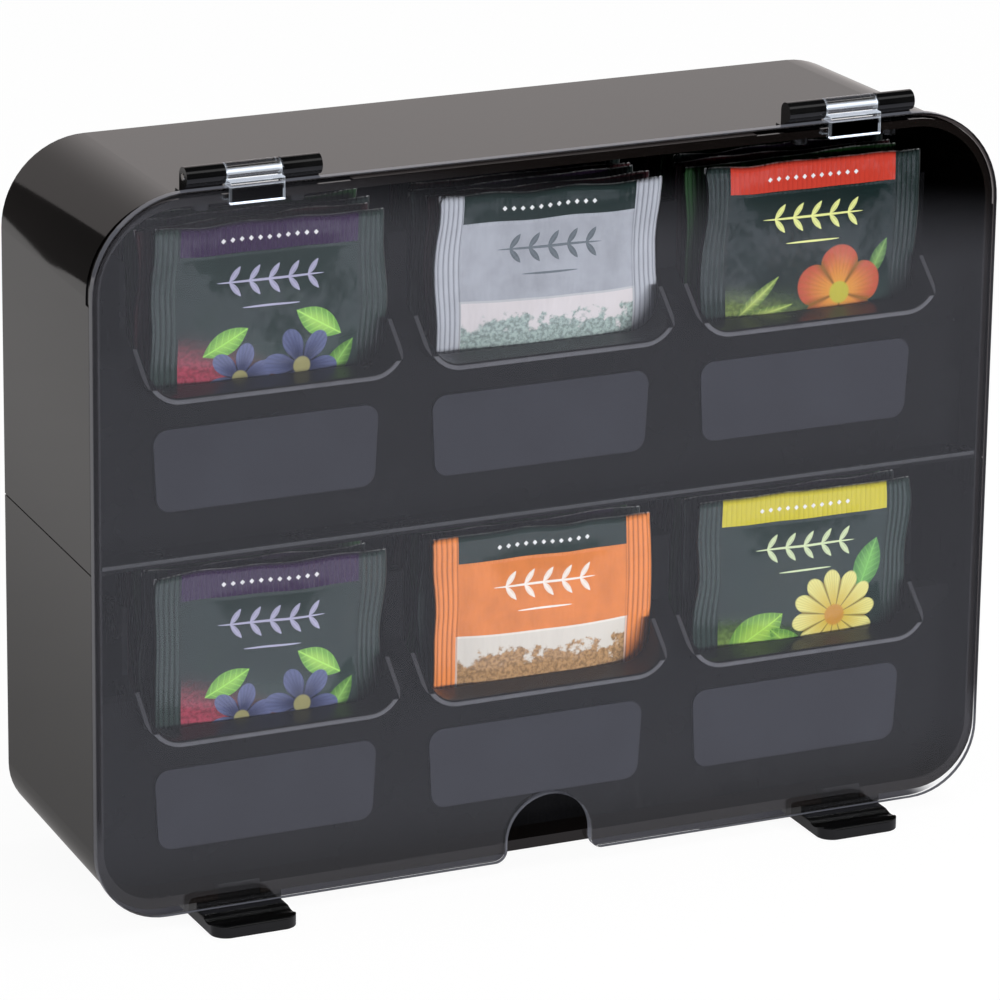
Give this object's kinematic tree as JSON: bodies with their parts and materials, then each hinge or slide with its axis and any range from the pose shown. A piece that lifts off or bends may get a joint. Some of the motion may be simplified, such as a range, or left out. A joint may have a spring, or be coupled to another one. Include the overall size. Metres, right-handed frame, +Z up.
{
  "type": "tea bag organizer box",
  "caption": "Black counter box with a clear lift-up door, compartments in two tiers for tea sachets, and two feet.",
  "frame": {"origin": "centre of the bounding box at ground level, under the feet", "axes": "+Z up, -Y towards the front with the clear door, +X to the viewer's right when facing the door"},
  "size_m": [0.26, 0.0856, 0.2054],
  "materials": {
    "shell_black": "fine satin texture",
    "inner_black": "satin",
    "clear_panel": "polished clear",
    "clear_leaf": "polished clear",
    "hinge_black": "gloss",
    "pin_steel": "ground rod",
    "foot_black": "gloss",
    "label_grey": "matte writing surface",
    "sachet_upper_left": "printed paper and foil",
    "sachet_upper_middle": "printed paper and foil",
    "sachet_upper_right": "printed paper and foil",
    "sachet_lower_left": "printed paper and foil",
    "sachet_lower_middle": "printed paper and foil",
    "sachet_lower_right": "printed paper and foil"
  },
  "bodies": {
    "box": {"outer_shell": "shell_black", "mid_shelf": "inner_black", "upper_tray": "inner_black", "lower_tray": "inner_black", "hinge_bracket_left": "hinge_black", "hinge_pin_left": "pin_steel", "foot_left": "foot_black", "hinge_bracket_right": "hinge_black", "hinge_pin_right": "pin_steel", "foot_right": "foot_black", "label_plate_upper_left": "label_grey", "label_plate_upper_middle": "label_grey", "label_plate_upper_right": "label_grey", "label_plate_lower_left": "label_grey", "label_plate_lower_middle": "label_grey", "label_plate_lower_right": "label_grey", "sachet_stack_upper_left": "sachet_upper_left", "sachet_stack_upper_middle": "sachet_upper_middle", "sachet_stack_upper_right": "sachet_upper_right", "sachet_stack_lower_left": "sachet_lower_left", "sachet_stack_lower_middle": "sachet_lower_middle", "sachet_stack_lower_right": "sachet_lower_right"},
    "door": {"door_panel": "clear_panel", "hinge_leaf_left": "clear_leaf", "hinge_leaf_right": "clear_leaf"}
  },
  "joints": [
    {"name": "door_hinge", "type": "hinge", "parent": "box", "child": "door", "pos_m": [0, -0.02805, 0.2027], "axis": [-1, 0, 0], "range_deg": [0, 265]}
  ]
}
